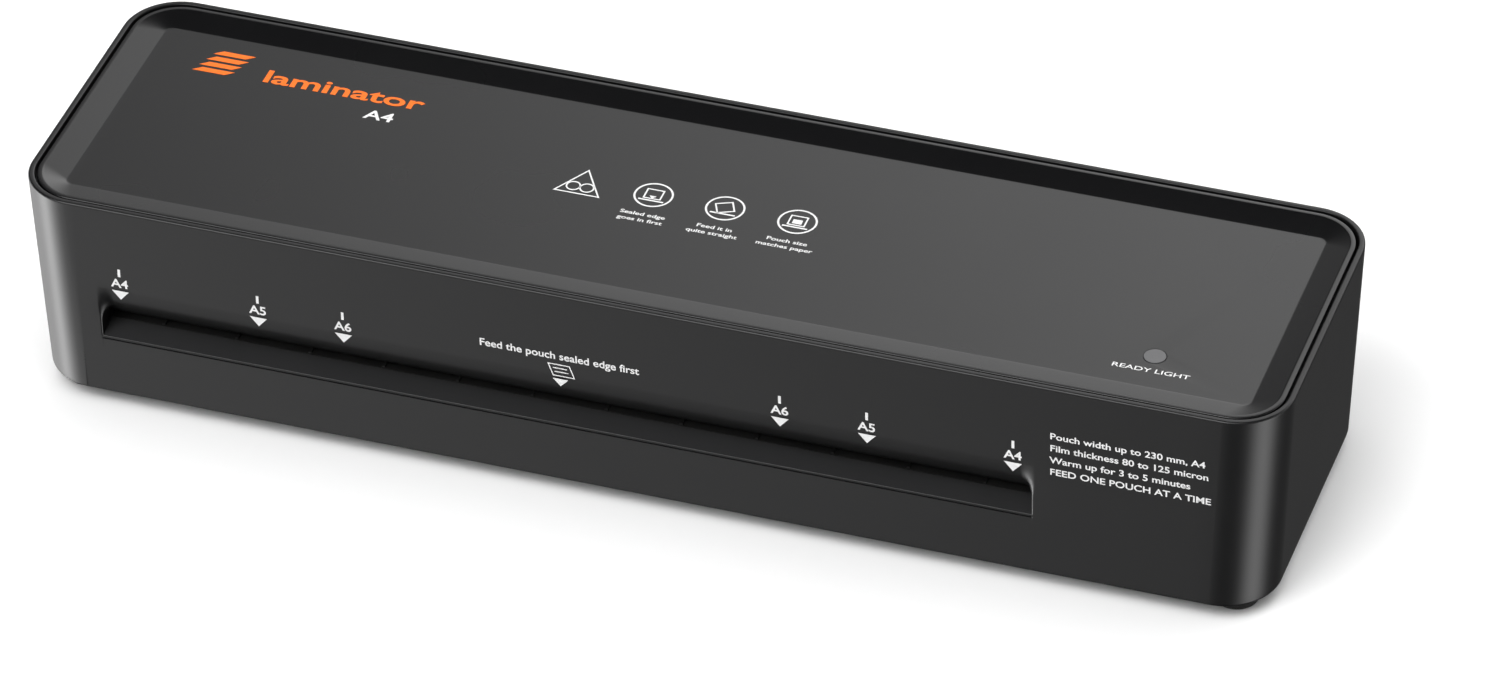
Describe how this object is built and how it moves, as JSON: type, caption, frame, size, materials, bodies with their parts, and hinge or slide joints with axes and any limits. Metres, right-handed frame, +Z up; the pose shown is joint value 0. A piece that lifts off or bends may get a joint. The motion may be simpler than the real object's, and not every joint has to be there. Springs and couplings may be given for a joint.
{
  "type": "pouch laminator",
  "caption": "Low black desktop pouch laminator with a wide feed mouth in front, an exit lip behind and a geared pair of heated rollers inside.",
  "frame": {"origin": "middle of the overall footprint, on the surface that the feet rest on", "axes": "+X to the right along the rollers, -Y towards the user and the feed mouth, +Z up"},
  "size_m": [0.321, 0.095, 0.061],
  "materials": {
    "black_abs": "moulded ABS, fine satin texture",
    "panel_abs": "moulded ABS, fine satin texture, printed",
    "foot_rubber": "moulded rubber",
    "plated_screw": "zinc plated",
    "frame_steel": "galvanised sheet",
    "core_steel": "turned",
    "spring_steel": "drawn wire",
    "bronze": "sintered bronze",
    "silicone": "ground silicone rubber",
    "white_acetal": "moulded acetal",
    "black_nylon": "moulded glass-filled nylon",
    "aluminium_shoe": "extruded",
    "mica": "mica sheet heater",
    "motor_steel": "zinc plated can",
    "board_green": "solder mask",
    "lens_clear": "frosted polycarbonate",
    "led_white": "moulded epoxy",
    "contact_brass": "nickel plated brass",
    "relay_blue": "moulded",
    "capacitor_sleeve": "shrink sleeve",
    "terminal_green": "moulded",
    "fuse_case": "ceramic body"
  },
  "bodies": {
    "chassis": {"housing_shell": "black_abs", "top_panel": "panel_abs", "base_plate": "black_abs", "rubber_feet": "foot_rubber", "base_screws": "plated_screw", "indicator_lens": "lens_clear", "indicator_led": "led_white", "indicator_board": "board_green", "power_inlet": "black_nylon", "inlet_pins": "contact_brass", "switch_body": "black_nylon", "switch_terminals": "contact_brass", "left_side_frame": "frame_steel", "right_side_frame": "frame_steel", "front_tie_bar": "core_steel", "rear_tie_bar": "core_steel", "tie_bar_screws": "plated_screw", "frame_base_screws": "plated_screw", "guide_screws": "plated_screw", "lower_bushings": "bronze", "pressure_springs": "spring_steel", "idler_stud": "core_steel", "idler_clip": "spring_steel", "motor_gearbox": "motor_steel", "motor_can": "motor_steel", "motor_bracket": "frame_steel", "motor_screws": "plated_screw", "motor_standoffs": "core_steel", "standoff_screws": "plated_screw", "lower_heater_shoe": "aluminium_shoe", "upper_heater_shoe": "aluminium_shoe", "lower_heater_element": "mica", "upper_heater_element": "mica", "heat_shield": "frame_steel", "thermostat": "fuse_case", "thermostat_saddle": "aluminium_shoe", "thermal_fuse": "contact_brass", "fuse_clip": "aluminium_shoe", "entry_guide_lower": "black_nylon", "entry_guide_upper": "black_nylon", "exit_guide_lower": "black_nylon", "exit_guide_upper": "black_nylon", "control_board": "board_green", "board_screws": "plated_screw", "filter_capacitors": "capacitor_sleeve", "heater_relay": "relay_blue", "terminal_blocks": "terminal_green"},
    "lower_roller": {"lower_roller_core": "core_steel", "lower_roller_sleeve": "silicone", "lower_roller_gear": "white_acetal", "lower_roller_clips": "spring_steel"},
    "upper_bearings": {"upper_bearing_blocks": "white_acetal"},
    "upper_roller": {"upper_roller_core": "core_steel", "upper_roller_sleeve": "silicone", "upper_roller_gear": "white_acetal", "upper_roller_clips": "spring_steel"},
    "idler": {"idler_gear": "white_acetal"},
    "motor_output": {"motor_shaft": "core_steel", "motor_pinion": "bronze"},
    "power_switch": {"switch_rocker": "black_nylon"}
  },
  "joints": [
    {"name": "lower_roller_spin", "type": "hinge", "parent": "chassis", "child": "lower_roller", "pos_m": [-0.0195, -0.002, 0.01945], "axis": [1, 0, 0], "continuous": true},
    {"name": "upper_bearing_lift", "type": "slide", "parent": "chassis", "child": "upper_bearings", "axis": [0, 0, 1], "range_m": [0, 0.0008], "stiffness_N_per_m": 3000, "springref_m": -0.005, "deforming": ["pressure_springs"]},
    {"name": "upper_roller_spin", "type": "hinge", "parent": "upper_bearings", "child": "upper_roller", "pos_m": [-0.0195, -0.002, 0.03555], "axis": [1, 0, 0], "continuous": true},
    {"name": "idler_spin", "type": "hinge", "parent": "chassis", "child": "idler", "pos_m": [0.1122, -0.02175, 0.02293], "axis": [1, 0, 0], "continuous": true},
    {"name": "motor_output_spin", "type": "hinge", "parent": "chassis", "child": "motor_output", "pos_m": [0.1122, -0.03127, 0.03943], "axis": [1, 0, 0], "continuous": true},
    {"name": "power_switch_rock", "type": "hinge", "parent": "chassis", "child": "power_switch", "pos_m": [0.128, 0.0405, 0.0445], "axis": [1, 0, 0], "range_deg": [0, 20]}
  ],
  "couplings": [
    {"joint": "upper_roller_spin", "follows": "lower_roller_spin", "ratio": -1},
    {"joint": "idler_spin", "follows": "lower_roller_spin", "ratio": -0.66667},
    {"joint": "motor_output_spin", "follows": "lower_roller_spin", "ratio": 1.1429}
  ]
}
